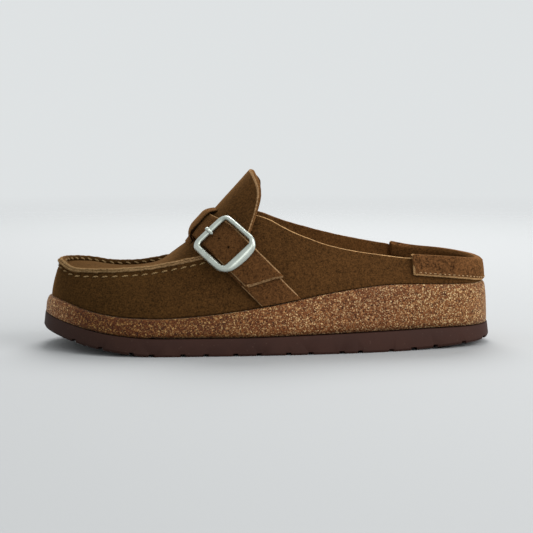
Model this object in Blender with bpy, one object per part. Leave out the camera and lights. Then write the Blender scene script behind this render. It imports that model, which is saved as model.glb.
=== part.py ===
"""Cork footbed clog, one left shoe. Metres, +Z up, toe towards -X, outer side towards -Y."""
import math
from collections import namedtuple

import bmesh
import bpy
import numpy as np
from mathutils import Vector
from mathutils.bvhtree import BVHTree

MM = 0.001

# Sizes in millimetres
GAP = 0.3
WALL = 2.0
FEATHER = 4.8
SEAM_WIDE = 3.6
LINER = 1.5
TONGUE = 1.6
STRAP = 1.7
STRAP_EDGES, ANCHOR_EDGES = (15.0, 34.8), (13.6, 32.8)
STRAP_LEAN = (1.0, 4.2)
KEEPER = 1.4
KEEPER_HALF = 11.0
KEEPER_RISE, KEEPER_CLEAR = 13.9, 0.5
BINDING = 1.7
GROOVE_PITCH, GROOVE_WIDE, GROOVE_DEEP = 15.2, 4.2, 1.7
BUCKLE_LONG, BUCKLE_WIDE, BUCKLE_HIGH = 32.0, 28.6, 2.7
BUCKLE_BAR, BUCKLE_SIDES = 3.8, (4.0, 2.8)
BUCKLE_BOW, BUCKLE_SKEW = 2.0, 0.045

# How finely the forms are divided
STEPS = 3
HEIGHTS = (0.0, 0.16, 0.36, 0.58, 0.8, 0.93)
PLUG_CUTS = 8
BED_CUTS = 5

# Sole outline, seen from above: half-widths along rays that fan out round the toe and the heel
Plan = namedtuple("Plan", "name hub_x bearing lateral medial")
PLAN = (
    Plan("toe tip", -80, 0, 54.0, 54.0),
    Plan("toe front", -80, 22, 49.5, 58.0),
    Plan("toe corner", -80, 45, 47.0, 60.0),
    Plan("toe side", -80, 68, 46.8, 53.0),
    Plan("forefoot", -80, 90, 48.5, 49.5),
    Plan("ball", -55, 90, 50.5, 49.0),
    Plan("seam end", -32, 90, 51.0, 44.5),
    Plan("throat", -10, 90, 51.0, 39.3),
    Plan("waist", 11, 90, 50.4, 35.8),
    Plan("arch", 32, 90, 49.0, 33.6),
    Plan("arch back", 53, 90, 46.6, 33.0),
    Plan("heel front", 79, 90, 41.3, 34.2),
    Plan("heel side", 97, 90, 37.0, 35.0),
    Plan("heel quarter", 97, 120, 36.5, 36.0),
    Plan("heel corner", 97, 150, 37.5, 37.5),
    Plan("heel tip", 97, 180, 38.0, 38.0),
)

# Top edge of the upper at the same stations: how far in from the sole outline, and how high
Top = namedtuple("Top", "lat_in lat_z med_in med_z")
TOP = (
    Top(8.6, 50.4, 8.6, 50.4),
    Top(10.5, 45.8, 12.0, 50.4),
    Top(15.5, 46.1, 20.0, 48.9),
    Top(19.0, 46.6, 21.5, 46.4),
    Top(21.5, 47.2, 21.0, 46.6),
    Top(21.8, 51.2, 21.0, 50.6),
    Top(20.0, 57.0, 16.5, 59.0),
    Top(24.0, 79.8, 14.3, 80.0),
    Top(18.4, 69.8, 8.0, 72.8),
    Top(15.6, 62.4, 6.8, 67.0),
    Top(13.2, 57.8, 6.6, 61.8),
    Top(9.8, 54.3, 6.8, 57.2),
    Top(7.9, 52.7, 7.1, 53.8),
    Top(7.0, 51.4, 6.8, 52.6),
    Top(6.2, 49.9, 6.2, 50.8),
    Top(5.8, 49.3, 5.8, 49.3),
)
SEAM_END = 6

# Section of the raised seam: share of its width, overhang, and height without and with the seam
Seam = namedtuple("Seam", "wide out flat high")
SEAM = (
    Seam(0.0, 0.8, 0.0, -1.0),
    Seam(0.05, 0.8, -0.1, 1.2),
    Seam(0.45, 0.0, -0.2, 2.0),
    Seam(0.85, 0.0, -0.3, 1.7),
    Seam(1.0, 0.0, -0.4, -0.5),
)

# Heights along the sole: ground line, top of the outsole, cork rim on each side, dish of the bed
Rise = namedtuple("Rise", "x ground outsole cork_lat cork_med dish")
RISE = (
    Rise(-136, 11.6, 20.8, 30.4, 30.4, 3.0),
    Rise(-115, 6.3, 15.7, 25.6, 26.6, 4.5),
    Rise(-95, 2.6, 12.2, 22.4, 24.2, 3.6),
    Rise(-70, 0.0, 10.3, 21.2, 23.0, 3.0),
    Rise(-45, 0.0, 10.2, 22.5, 25.2, 4.0),
    Rise(-18, 0.0, 10.2, 25.8, 30.6, 6.5),
    Rise(10, 0.0, 10.8, 30.8, 36.6, 9.5),
    Rise(40, 0.0, 11.5, 36.2, 39.6, 12.0),
    Rise(70, 0.0, 12.0, 39.0, 40.0, 13.0),
    Rise(98, 1.4, 12.4, 38.2, 38.6, 12.5),
    Rise(136, 4.0, 12.4, 37.0, 37.0, 8.0),
)

# Middle line of the plug, from the toe up the instep
Crown = namedtuple("Crown", "x z")
CROWN = (
    Crown(-127, 48.6),
    Crown(-110, 47.8),
    Crown(-90, 47.2),
    Crown(-75, 48.4),
    Crown(-66, 50.5),
    Crown(-59, 54.4),
    Crown(-53, 60.0),
    Crown(-47, 63.8),
    Crown(-40, 69.9),
    Crown(-28, 81.6),
)

# Arch of the tongue: half-widths, height square to the instep, and where its rear edge is cut
Arch = namedtuple("Arch", "lateral medial height rear_lat rear_med")
ARCH = (
    Arch(0.0, 0.0, 79.8, 66.3, 66.3),
    Arch(6.0, 5.5, 77.6, 65.8, 66.8),
    Arch(17.0, 15.5, 71.0, 63.6, 67.4),
    Arch(26.0, 23.5, 66.2, 58.6, 67.4),
    Arch(33.0, 29.0, 62.4, 47.0, 67.0),
    Arch(36.4, 31.5, 60.0, 37.5, 58.0),
)
TONGUE_FRONT = 19.0
TONGUE_LIFT = 0.045
TONGUE_SLANT = 1.7

# Where the strap and its anchor stop on the outer side, on the front and the rear edge
STRAP_END_FRONT, STRAP_END_REAR = 39.6, 29.9
ANCHOR_TOP = 54.0
BUCKLE_AT = 65.9
AXIS_HIGH = 45.0


def eased(knots, values, at):
    """Monotone cubic through a table, so that level stretches stay level."""
    knots = np.asarray(knots, float)
    values = np.asarray(values, float)
    at = np.clip(np.asarray(at, float), knots[0], knots[-1])
    step = np.diff(knots)
    slope = np.diff(values) / step
    bend = np.zeros(len(knots))
    bend[0], bend[-1] = slope[0], slope[-1]
    for i in range(1, len(knots) - 1):
        if slope[i - 1] * slope[i] > 0:
            a = 2 * step[i] + step[i - 1]
            b = step[i] + 2 * step[i - 1]
            bend[i] = (a + b) / (a / slope[i - 1] + b / slope[i])
    i = np.clip(np.searchsorted(knots, at, side="right") - 1, 0, len(step) - 1)
    t = (at - knots[i]) / step[i]
    rise = values[i] * (1 + 2 * t) * (1 - t) ** 2 + values[i + 1] * t**2 * (3 - 2 * t)
    return rise + step[i] * (bend[i] * t * (1 - t) ** 2 - bend[i + 1] * t**2 * (1 - t))


def closed_curve(points, steps):
    """Smooth closed curve through the points, with the same number of steps between each two."""
    points = np.asarray(points, float)
    count = len(points)
    after = np.roll(points, -1, axis=0)
    h = np.linalg.norm(after - points, axis=1)
    matrix = np.zeros((count, count))
    for i in range(count):
        matrix[i, i - 1] += h[i - 1]
        matrix[i, i] += 2 * (h[i - 1] + h[i])
        matrix[i, (i + 1) % count] += h[i]
    chord = (after - points) / h[:, None]
    bend = np.linalg.solve(matrix, 6 * (chord - np.roll(chord, 1, axis=0)))
    curve = []
    for i in range(count):
        j = (i + 1) % count
        for k in range(steps):
            b = k / steps * h[i]
            a = h[i] - b
            cubic = (bend[i] * a**3 + bend[j] * b**3) / (6 * h[i])
            line = (points[i] / h[i] - bend[i] * h[i] / 6) * a
            curve.append(cubic + line + (points[j] / h[i] - bend[j] * h[i] / 6) * b)
    return np.array(curve)


def plan_points(side):
    rows = []
    for row in PLAN:
        turn = math.radians(row.bearing)
        half = row.lateral if side < 0 else row.medial
        rows.append((row.hub_x - half * math.cos(turn), side * half * math.sin(turn)))
    return rows


def inward(side):
    turn = eased(range(len(PLAN)), [row.bearing for row in PLAN], STATIONS / STEPS)
    turn = np.radians(turn)
    return np.stack([np.cos(turn), -side * np.sin(turn)], axis=1)


def along(values):
    """A value of each table row, eased along the stations from toe to heel."""
    return eased(range(len(PLAN)), values, STATIONS / STEPS)


# Both sides of the outline, station by station from the toe tip to the heel tip
STATIONS = np.arange((len(PLAN) - 1) * STEPS + 1)
LOOP = closed_curve(plan_points(-1) + plan_points(1)[-2:0:-1], STEPS)
LAST = len(STATIONS) - 1
OUTLINE = {-1: LOOP[: LAST + 1], 1: np.roll(LOOP, -1, axis=0)[::-1][: LAST + 1]}
INWARD = {side: inward(side) for side in (-1, 1)}
CENTRE = np.append((LOOP.min(axis=0) + LOOP.max(axis=0)) / 2, 0)
TOP_IN = {-1: along([row.lat_in for row in TOP]), 1: along([row.med_in for row in TOP])}
TOP_Z = {-1: along([row.lat_z for row in TOP]), 1: along([row.med_z for row in TOP])}
SEAM_STOP = SEAM_END * STEPS


def rise(column, x):
    return eased([row.x for row in RISE], [getattr(row, column) for row in RISE], x)


def cork_rim(side):
    """Height of the cork at each station. The two sides agree at the tips."""
    x = {k: OUTLINE[k][:, 0] for k in (-1, 1)}
    own = {-1: rise("cork_lat", x[-1]), 1: rise("cork_med", x[1])}
    mean = (own[-1] + own[1]) / 2
    apart = np.clip(np.minimum(STATIONS, LAST - STATIONS) / (2 * STEPS), 0, 1)
    return mean + (own[side] - mean) * apart


def ring(side, inset, z):
    """Points of one side at a distance in from the outline. z is a height or a function of x."""
    flat = OUTLINE[side] + INWARD[side] * np.reshape(inset, (-1, 1))
    z = z(flat[:, 0]) if callable(z) else np.broadcast_to(z, len(flat))
    return np.column_stack([flat, z])


def across(lateral, medial, cuts, height):
    """Rows of points from each lateral point to its medial partner, lifted by a function."""
    share = np.linspace(0, 1, cuts + 2)[None, :, None]
    points = lateral[:, None] * (1 - share) + medial[:, None] * share
    points[:, :, 2] = height(points, share[0, :, 0])
    points[:, 0], points[:, -1] = lateral, medial
    return points


# Building of solids


def welded(grids):
    """Points and quads of grids whose edges coincide."""
    points, faces = [], []
    for grid in grids:
        rows, columns = grid.shape[:2]
        first = len(points)
        points.extend(grid.reshape(-1, 3))
        for i in range(rows - 1):
            for j in range(columns - 1):
                a = first + i * columns + j
                faces.append((a, a + 1, a + columns + 1, a + columns))
    points = np.array(points)
    _, keep, index = np.unique(
        np.round(points, 4), axis=0, return_index=True, return_inverse=True
    )
    index = index.reshape(-1)
    clean = []
    for face in faces:
        corners = []
        for k in index[list(face)]:
            if k not in corners:
                corners.append(int(k))
        if len(corners) > 2:
            clean.append(corners)
    return points[keep], clean, index


def thickened(grids, depth):
    """The same grids moved along their own normals."""
    points, faces, index = welded(grids)
    normals = np.zeros_like(points)
    for face in faces:
        a, b, c = points[face[0]], points[face[1]], points[face[-1]]
        normals[face] += np.cross(b - a, c - a)
    normals /= np.linalg.norm(normals, axis=1)[:, None]
    moved = (points + normals * depth)[index]
    result, first = [], 0
    for grid in grids:
        size = grid.shape[0] * grid.shape[1]
        result.append(moved[first : first + size].reshape(grid.shape))
        first += size
    return result


def solid(name, grids, material):
    points, faces, _ = welded(grids)
    mesh = bpy.data.meshes.new(name)
    made = bmesh.new()
    corners = [made.verts.new((point - CENTRE) * MM) for point in points]
    for face in faces:
        made.faces.new([corners[k] for k in face])
    bmesh.ops.recalc_face_normals(made, faces=made.faces)
    made.to_mesh(mesh)
    made.free()
    mesh.materials.append(material)
    piece = bpy.data.objects.new(name, mesh)
    SHOE.objects.link(piece)
    return piece


def sheet(name, outer, inner, material):
    """A solid between two grids of the same size, closed round all four edges."""
    rims = []
    for pick in (np.s_[0], np.s_[-1], np.s_[:, 0], np.s_[:, -1]):
        rims.append(np.stack([outer[pick], inner[pick]]))
    return solid(name, [outer, inner] + rims, material)


def surface_of(*pieces):
    """Trees for casting rays at finished pieces, in millimetres of the table frame."""
    trees = []
    for piece in pieces:
        points = [Vector(v.co) / MM + Vector(CENTRE) for v in piece.data.vertices]
        trees.append(BVHTree.FromPolygons(points, [p.vertices[:] for p in piece.data.polygons]))
    return trees


def outermost(trees, origin, direction, reach=140.0):
    """Distance from the origin to the outermost surface met along a direction, or None."""
    start = Vector(origin) + Vector(direction) * reach
    hits = [tree.ray_cast(start, -Vector(direction), reach) for tree in trees]
    found = [reach - hit[3] for hit in hits if hit[3] is not None]
    return max(found) if found else None


# The instep has its own axes: along its slope, square to it, and sideways
def instep(along_slope, square, y):
    half = math.sqrt(0.5)
    return np.array([(along_slope - square) * half, y, (along_slope + square) * half])


def slope_direction(angle):
    """Direction in a plane square to the slope. The outer side has negative angles."""
    half = math.sqrt(0.5)
    return np.array([-math.cos(angle) * half, math.sin(angle), math.cos(angle) * half])


def taut(points):
    """What a pulled band does: the hollows of a line of points are bridged."""
    kept = []
    for point in points:
        while len(kept) > 1:
            a, b = kept[-1] - kept[-2], point - kept[-2]
            if a[0] * b[1] - a[1] * b[0] < 0:
                break
            kept.pop()
        kept.append(point)
    return np.array(kept)


def divided(points, count):
    """The line of points again, in equal lengths."""
    length = np.append(0, np.cumsum(np.linalg.norm(np.diff(points, axis=0), axis=1)))
    fine = np.linspace(0, length[-1], count)
    return np.column_stack([np.interp(fine, length, points[:, k]) for k in (0, 1)])


def softened(values, passes=20):
    values = np.array(values, float)
    for _ in range(passes):
        values[1:-1] = (values[:-2] + 2 * values[1:-1] + values[2:]) / 4
    return values


def even(points, count):
    """The line of points again, in equal lengths, rounded at its corners without cutting them."""
    sharp = divided(points, 6 * count)
    soft = softened(sharp)
    cut = np.linalg.norm(sharp - soft, axis=1)
    wide = [cut[max(0, k - 9) : k + 10].max() for k in range(len(cut))]
    return divided(swollen(soft, softened(wide)[:, None]), count)


def swollen(points, by):
    """A line of points in a plane moved to its left, out from the shoe."""
    ahead = np.gradient(points, axis=0)
    ahead /= np.linalg.norm(ahead, axis=1)[:, None]
    return points + np.column_stack([-ahead[:, 1], ahead[:, 0]]) * by


def material(name, colour, roughness, metallic=0.0):
    made = bpy.data.materials.new(name)
    made.use_nodes = True
    shader = made.node_tree.nodes["Principled BSDF"]
    shader.inputs["Base Color"].default_value = (*colour, 1)
    shader.inputs["Roughness"].default_value = roughness
    shader.inputs["Metallic"].default_value = metallic
    return made


# Pieces


def outsole():
    def ground(x):
        return rise("ground", x)

    def height(points, _):
        return ground(points[:, :, 0])

    def sides(side):
        return [
            ring(side, 0.7, ground),
            ring(side, 0.0, lambda x: ground(x) + 1.4),
            ring(side, 0.9, lambda x: rise("outsole", x) - GAP / 2),
        ]

    lateral, medial = sides(-1), sides(1)
    under = across(lateral[0], medial[0], 1, height)
    over = across(lateral[2], medial[2], 1, lambda p, _: rise("outsole", p[:, :, 0]) - GAP / 2)
    walls = [np.stack(lateral, axis=1), np.stack(medial, axis=1)]
    piece = solid("outsole", [under, over] + walls, RUBBER)
    cutter = tread_grooves(ground)
    cut = piece.modifiers.new("tread", "BOOLEAN")
    cut.operation = "DIFFERENCE"
    cut.solver = "EXACT"
    cut.object = cutter
    return piece


def tread_grooves(ground):
    """Zigzag bars across the sole, alternate ones turned over."""
    across_y = np.linspace(-58.4, 61.6, 11)
    zigzag = np.where(np.arange(11) % 2 == 0, -1.0, 1.0) * 2.6
    middles = np.arange(-8, 9) * GROOVE_PITCH + 5.3
    mesh = bpy.data.meshes.new("tread_grooves")
    made = bmesh.new()
    for k, middle in enumerate(middles):
        x = middle + zigzag * (1 if k % 2 == 0 else -1)
        rows = []
        for y, at in zip(across_y, x):
            low, high = ground(at) - 3, ground(at) + GROOVE_DEEP
            half, top = GROOVE_WIDE / 2, GROOVE_WIDE / 2 - 0.5
            rows.append([(at - half, y, low), (at + half, y, low), (at + top, y, high), (at - top, y, high)])
        corners = [[made.verts.new((np.array(p) - CENTRE) * MM) for p in row] for row in rows]
        for row, after in zip(corners, corners[1:]):
            for j in range(4):
                made.faces.new([row[j], row[j - 1], after[j - 1], after[j]])
        made.faces.new(corners[0])
        made.faces.new(corners[-1][::-1])
    bmesh.ops.recalc_face_normals(made, faces=made.faces)
    made.to_mesh(mesh)
    made.free()
    cutter = bpy.data.objects.new("tread_grooves", mesh)
    cutter.hide_render = True
    cutter.display_type = "WIRE"
    CUTTERS.objects.link(cutter)
    return cutter


def bed(inset, lift):
    """The dished top of the footbed, from one side to the other."""
    sides = [ring(side, inset, cork_rim(side) + lift) for side in (-1, 1)]

    def height(points, share):
        low = points[:, 0, 2][:, None] * (1 - share) + points[:, -1, 2][:, None] * share
        room = np.minimum(1, np.linalg.norm(sides[1] - sides[0], axis=1) / 45)[:, None]
        sunk = rise("dish", points[:, :, 0]) * (1 - np.abs(2 * share - 1) ** 3)
        return low - sunk * room

    return across(sides[0], sides[1], BED_CUTS, height)


def cork_footbed():
    def base(x):
        return rise("outsole", x) + GAP / 2

    walls = []
    for side in (-1, 1):
        def up(share, less=0.0, rim=cork_rim(side)):
            return lambda x: base(x) + (rim - base(x)) * share - less

        rings = [
            ring(side, 1.1, base),
            ring(side, 1.5, up(0.6)),
            ring(side, 2.4, up(1.0, 1.8)),
            ring(side, 3.0, up(1.0, 0.5)),
            ring(side, 4.0, up(1.0)),
            ring(side, 7.2, up(1.0)),
        ]
        walls.append(np.stack(rings, axis=1))
    under = across(walls[0][:, 0], walls[1][:, 0], 1, lambda p, _: base(p[:, :, 0]))
    return solid("cork_footbed", walls + [under, bed(7.2, 0.0)], CORK)


def insole():
    return sheet("insole", bed(7.9, GAP + LINER), bed(7.9, GAP), LINING)


def wall_columns(side):
    """The wall of the upper, from the cork up to just under its top edge."""
    foot = cork_rim(side) + GAP
    rows = []
    for share in HEIGHTS:
        inset = FEATHER + (TOP_IN[side] - FEATHER) * share**1.5
        rows.append(ring(side, inset, foot + (TOP_Z[side] - foot) * share))
    return np.stack(rows, axis=1)


def seam_columns(side, raised):
    """The edge of the wall, the raised seam where there is one, and the edge of the plug."""
    fade = np.clip((SEAM_STOP + 3 - STATIONS) / 3, 0, 1) * raised
    inset, z = TOP_IN[side], TOP_Z[side]
    rows = []
    for wide, out, flat, high in SEAM:
        lift = flat + (high - flat) * fade
        rows.append(ring(side, inset + wide * SEAM_WIDE - out * fade, z + lift))
    return np.stack(rows, axis=1)


def plug(lateral, medial):
    """The top of the vamp between the two edges, arched up the instep."""

    def height(points, share):
        low = points[:, 0, 2][:, None] * (1 - share) + points[:, -1, 2][:, None] * share
        middle = (points[:, 0, 0] + points[:, -1, 0]) / 2
        crown = eased([row.x for row in CROWN], [row.z for row in CROWN], middle)
        lift = crown - (points[:, 0, 2] + points[:, -1, 2]) / 2
        room = np.minimum(1, np.abs(points[:, -1, 1] - points[:, 0, 1]) / 25)
        return low + (lift * room)[:, None] * (1 - np.abs(2 * share - 1) ** 2.1)

    return across(lateral, medial, PLUG_CUTS, height)


def upper_form(raised):
    """Grids of the vamp and of the two quarters, and the throat edge."""
    walls = {side: wall_columns(side) for side in (-1, 1)}
    seams = {side: seam_columns(side, raised) for side in (-1, 1)}
    front = np.s_[: SEAM_STOP + 1]
    top = plug(seams[-1][front, -1], seams[1][front, -1])
    vamp = np.concatenate(
        [
            walls[-1][front],
            seams[-1][front],
            top[:, 1:-1],
            seams[1][front][:, ::-1],
            walls[1][front][:, ::-1],
        ],
        axis=1,
    )
    quarters = []
    for side in (-1, 1):
        rear = np.s_[SEAM_STOP:]
        quarters.append(np.concatenate([walls[side][rear], seams[side][rear, :1]], axis=1))
    return [vamp, quarters[0], quarters[1][:, ::-1]]


def upper():
    outer = upper_form(1.0)
    inner = thickened(upper_form(0.0), WALL)
    feet = ((0, 0), (0, -1), (1, 0), (2, -1))
    for grid, column in feet:
        inner[grid][:, column, 2] = outer[grid][:, column, 2]
    walls = len(HEIGHTS)
    rims = []
    for grid, column in feet + ((1, -1), (2, 0)):
        rims.append(np.stack([outer[grid][:, column], inner[grid][:, column]]))
    rims.append(np.stack([outer[0][-1, walls:-walls], inner[0][-1, walls:-walls]]))
    return solid("upper", outer + inner + rims, SUEDE)


def tongue(upper_piece):
    """A flap over the instep that laps the vamp and covers the front corners of the quarters."""
    trees = surface_of(upper_piece)
    share = np.linspace(-1, 1, 19)
    place = np.abs(share) * (len(ARCH) - 1)

    def column(lateral, medial):
        columns = [[getattr(row, name) for row in ARCH] for name in (lateral, medial)]
        values = [eased(range(len(ARCH)), column, place) for column in columns]
        return np.where(share < 0, values[0], values[1])

    spread = column("lateral", "medial") * np.sign(share)
    height = column("height", "height")
    rear = column("rear_lat", "rear_med")
    angle = np.arctan2(spread, height - AXIS_HIGH)
    reach = np.hypot(spread, height - AXIS_HIGH)
    for k, turn in enumerate(angle):
        for slope in np.linspace(TONGUE_FRONT, 52, 34):
            hit = outermost(trees, instep(slope, AXIS_HIGH, 0), slope_direction(turn))
            if hit and slope < rear[k] + 2:
                reach[k] = max(reach[k], hit + 3 * GAP + TONGUE)
    line = np.column_stack([reach * np.sin(angle), reach * np.cos(angle)])
    line = even(taut(line), len(angle))
    angle = np.arctan2(line[:, 0], line[:, 1])
    cuts = []
    for y in line[:, 0]:
        side = ("lateral", "rear_lat") if y < 0 else ("medial", "rear_med")
        wide, cut = ([getattr(row, name) for row in ARCH] for name in side)
        cuts.append(float(eased(wide, cut, abs(y))))
    rear = softened(cuts, 1)
    outer, inner = [], []
    for share in np.linspace(0, 1, 10):
        row_out, row_in = [], []
        for k, (y, up) in enumerate(line):
            slope = TONGUE_FRONT + (rear[k] - TONGUE_FRONT) * share
            lift = TONGUE_LIFT * (slope - TONGUE_FRONT) * math.cos(angle[k]) ** 2
            row_out.append((slope, y, up + lift))
        flat = np.array(row_out)
        thin = swollen(flat[:, 1:], -TONGUE)
        slant = TONGUE_SLANT * share * np.clip((5 - line[:, 0]) / 8, 0, 1)
        outer.append([instep(s, AXIS_HIGH + up, y) for s, y, up in flat])
        inner.append([instep(s, AXIS_HIGH + up, y) for s, (y, up) in zip(flat[:, 0] + slant, thin)])
    return sheet("tongue", np.array(outer), np.array(inner), SUEDE)


def leaning(lean, turn):
    """How far towards the toe a band lies at an angle round the instep; nothing on the outer side."""
    share = np.clip((turn + 0.95) / 0.75, 0, 1)
    return lean * share * share * (3 - 2 * share)


def girth(trees, slopes, start, stop, count=200, lean=0.0):
    """Outline of the finished pieces round the instep, the largest of that in a few planes square to it."""
    points = []
    for turn in np.linspace(start, stop, count):
        way = slope_direction(turn)
        less = leaning(lean, turn)
        hits = [outermost(trees, instep(slope - less, AXIS_HIGH, 0), way) or 0 for slope in slopes]
        points.append((max(hits) * math.sin(turn), max(hits) * math.cos(turn)))
    return np.array(points)


def cork_angle(side, slope):
    """The angle, in a plane square to the instep, at which the wall meets the cork."""
    foot = ring(side, FEATHER, cork_rim(side) + 2.4 * GAP)
    body = foot[SEAM_STOP - 6 : -12]
    level = (body[:, 0] + body[:, 2]) * math.sqrt(0.5)
    point = [np.interp(slope, level, body[:, k]) for k in range(3)]
    square = (point[2] - point[0]) * math.sqrt(0.5)
    return math.atan2(point[1], square - AXIS_HIGH)


def angle_at(trees, slope, square):
    """The angle on the outer side at which the surface is at a height square to the instep."""
    turns = np.linspace(cork_angle(-1, slope), 0, 120)
    levels = []
    for turn in turns:
        hit = outermost(trees, instep(slope, AXIS_HIGH, 0), slope_direction(turn)) or 0
        levels.append(AXIS_HIGH + hit * math.cos(turn))
    return float(np.interp(square, np.maximum.accumulate(levels), turns))


def band(name, trees, edges, ends, count, leans=(0.0, 0.0)):
    """A leather band wound over the finished pieces between two angles on each of its edges."""
    outer, inner = [], []
    front, rear = edges
    rows = 5
    pitch = (rear - front) / (rows - 1)
    for share in np.linspace(0, 1, rows):
        slope = front + (rear - front) * share
        start, stop = ends(slope, share)
        beside = np.clip(slope + np.linspace(-pitch, pitch, 7), front + GAP, rear - GAP)
        lean = leans[0] + (leans[1] - leans[0]) * share
        line = even(taut(girth(trees, beside, start, stop, lean=lean)), count)
        level = slope - leaning(lean, np.arctan2(line[:, 0], line[:, 1]))
        for face, by in ((inner, 1.2 * GAP), (outer, 1.2 * GAP + STRAP)):
            moved = swollen(line, by)
            face.append([instep(at, AXIS_HIGH + up, y) for at, (y, up) in zip(level, moved)])
    return sheet(name, np.array(outer), np.array(inner), SUEDE)


def anchor_strap(upper_piece):
    trees = surface_of(upper_piece)

    def ends(slope, share):
        return cork_angle(-1, slope), angle_at(trees, slope, ANCHOR_TOP)

    return band("anchor_strap", trees, ANCHOR_EDGES, ends, 14)


def instep_strap(*below):
    trees = surface_of(*below)

    def ends(slope, share):
        stop = STRAP_END_FRONT + (STRAP_END_REAR - STRAP_END_FRONT) * share
        lean = STRAP_LEAN[0] + (STRAP_LEAN[1] - STRAP_LEAN[0]) * share
        return angle_at(trees, slope, stop), cork_angle(1, slope - lean)

    return band("instep_strap", trees, STRAP_EDGES, ends, 40, STRAP_LEAN)


def strap_keeper(*below):
    """A strip along the instep, bridging the strap."""
    trees = surface_of(*below)
    outer, inner = [], []
    for y in np.linspace(-KEEPER_HALF, KEEPER_HALF, 7):
        points = []
        for slope in np.linspace(8.2, 34.4, 63):
            hit = outermost(trees, instep(slope, AXIS_HIGH, y), slope_direction(0))
            if hit:
                points.append((slope, hit))
        points = np.array(points)
        lying = points[:, 0] < KEEPER_RISE
        line = even(np.concatenate([points[lying], taut(points[~lying])]), 22)
        line[1:-1] = (line[:-2] + 2 * line[1:-1] + line[2:]) / 4
        for rows, by in ((inner, KEEPER_CLEAR), (outer, KEEPER_CLEAR + KEEPER)):
            moved = swollen(line, by)
            rows.append([instep(slope, AXIS_HIGH + up, y) for slope, up in moved])
    return sheet("strap_keeper", np.array(outer), np.array(inner), SUEDE)


def heel_strip():
    """A folded strip over the collar, round the back of the heel."""
    rows = []
    first = 11 * STEPS
    for side, order, cut_back in ((-1, 1, 0.43), (1, -1, 0.0)):
        foot = cork_rim(side) + GAP
        top = TOP_Z[side]
        behind = np.clip((STATIONS - first) / (LAST - first), 0, 1)

        def face(z, out, side=side, foot=foot, top=top):
            share = np.clip((z - foot) / (top - foot), 0, 1)
            inset = FEATHER + (TOP_IN[side] - FEATHER) * share**1.5
            return ring(side, inset - out, z)

        low = np.maximum(top - 10.0 - 2.3 * behind**1.5, foot + 0.6)
        low_in = np.maximum(top - 7.0, foot + 1.2)
        outside, inside = 1.5 * GAP, -WALL - 2 * GAP
        rims = [
            face(low, outside),
            face(low, outside + BINDING),
            face((low + top) / 2, outside + BINDING + 0.3),
            face(top + 0.4, outside + BINDING),
            face(top + GAP + BINDING, (outside + inside) / 2 + 1.6),
            face(top + GAP + BINDING, (outside + inside) / 2 - 1.3),
            face(top, inside - BINDING),
            face(low_in, inside - BINDING),
            face(low_in, inside),
            face(top + GAP, inside),
            face(top + GAP, outside),
        ]
        rims.append(rims[0])
        half = np.stack(rims, axis=1)[first:]
        half[0] += (half[1] - half[0]) * cut_back
        rows.append(half[::order])
    loop = np.concatenate([rows[0], rows[1][1:]])
    caps = []
    for end in (loop[0], loop[-1]):
        outer = end[[0, 1, 2, 3, 4, 5]]
        inner = end[[0, 0, 10, 10, 10, 9]]
        caps.append(np.stack([outer, inner]))
        caps.append(np.stack([end[[5, 6, 7]], end[[9, 9, 8]]]))
    return solid("heel_strip", [loop] + caps, SUEDE)


def strap_frame(strap):
    """Where the buckle sits: middle of the strap, directions along and out, by length from there."""
    trees = surface_of(strap)
    middle = sum(STRAP_EDGES) / 2 - 1.0
    turn = angle_at(trees, middle, BUCKLE_AT)
    beside = middle + np.linspace(-8.8, 10.8, 9)
    line = even(girth(trees, beside, turn - 0.7, turn + 0.7, 161), 111)
    length = np.append(0, np.cumsum(np.linalg.norm(np.diff(line, axis=0), axis=1)))
    at = np.interp(turn, np.arctan2(line[:, 0], line[:, 1]), length)
    out = swollen(line, 1.0) - line

    def place(down, sideways, up):
        """A point of the buckle: down the strap, across it, and out from it."""
        s = at - down - BUCKLE_SKEW * sideways
        y, level = (np.interp(s, length, line[:, k]) for k in (0, 1))
        ny, nq = (np.interp(s, length, out[:, k]) for k in (0, 1))
        up = up + 1.5 * GAP
        return instep(middle + sideways + BUCKLE_SKEW * down, AXIS_HIGH + level + nq * up, y + ny * up)

    return place


def rounded_frame(length, width, radius, steps, bow):
    """Corner by corner, then along the lower side, which is bowed."""
    half_long, half_wide = length / 2 - radius, width / 2 - radius
    points = []
    for k, (sx, sy) in enumerate(((1, 1), (-1, 1), (-1, -1), (1, -1))):
        for turn in np.radians(90 * k + np.linspace(0, 90, steps + 1)):
            corner = radius * math.cos(turn), radius * math.sin(turn)
            points.append((sx * half_long + corner[0], sy * half_wide + corner[1]))
    points += [(length / 2, half_wide * at) for at in (-0.6, -0.2, 0.2, 0.6)]
    points = np.array(points + points[:1])
    low = np.clip(points[:, 0] / (length / 2), 0, 1)
    points[:, 0] += bow * low * (1 - (2 * points[:, 1] / width) ** 2)
    return points


def buckle_frame(place):
    outer = rounded_frame(BUCKLE_LONG, BUCKLE_WIDE, 6.6, 5, BUCKLE_BOW)
    front, rear = BUCKLE_SIDES
    inner = rounded_frame(BUCKLE_LONG - 2 * BUCKLE_BAR, BUCKLE_WIDE - front - rear, 2.4, 5, 0.0)
    inner[:, 1] += (front - rear) / 2
    section = ((0.0, 0.0), (0.0, 0.55), (0.25, 0.92), (0.5, 1.0), (0.75, 0.92), (1.0, 0.55), (1.0, 0.0))
    rows = []
    for share, high in section + section[:1]:
        flat = outer * (1 - share) + inner * share
        rows.append([place(down, wide, high * BUCKLE_HIGH) for down, wide in flat])
    return solid("buckle_frame", [np.array(rows)], METAL)


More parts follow.
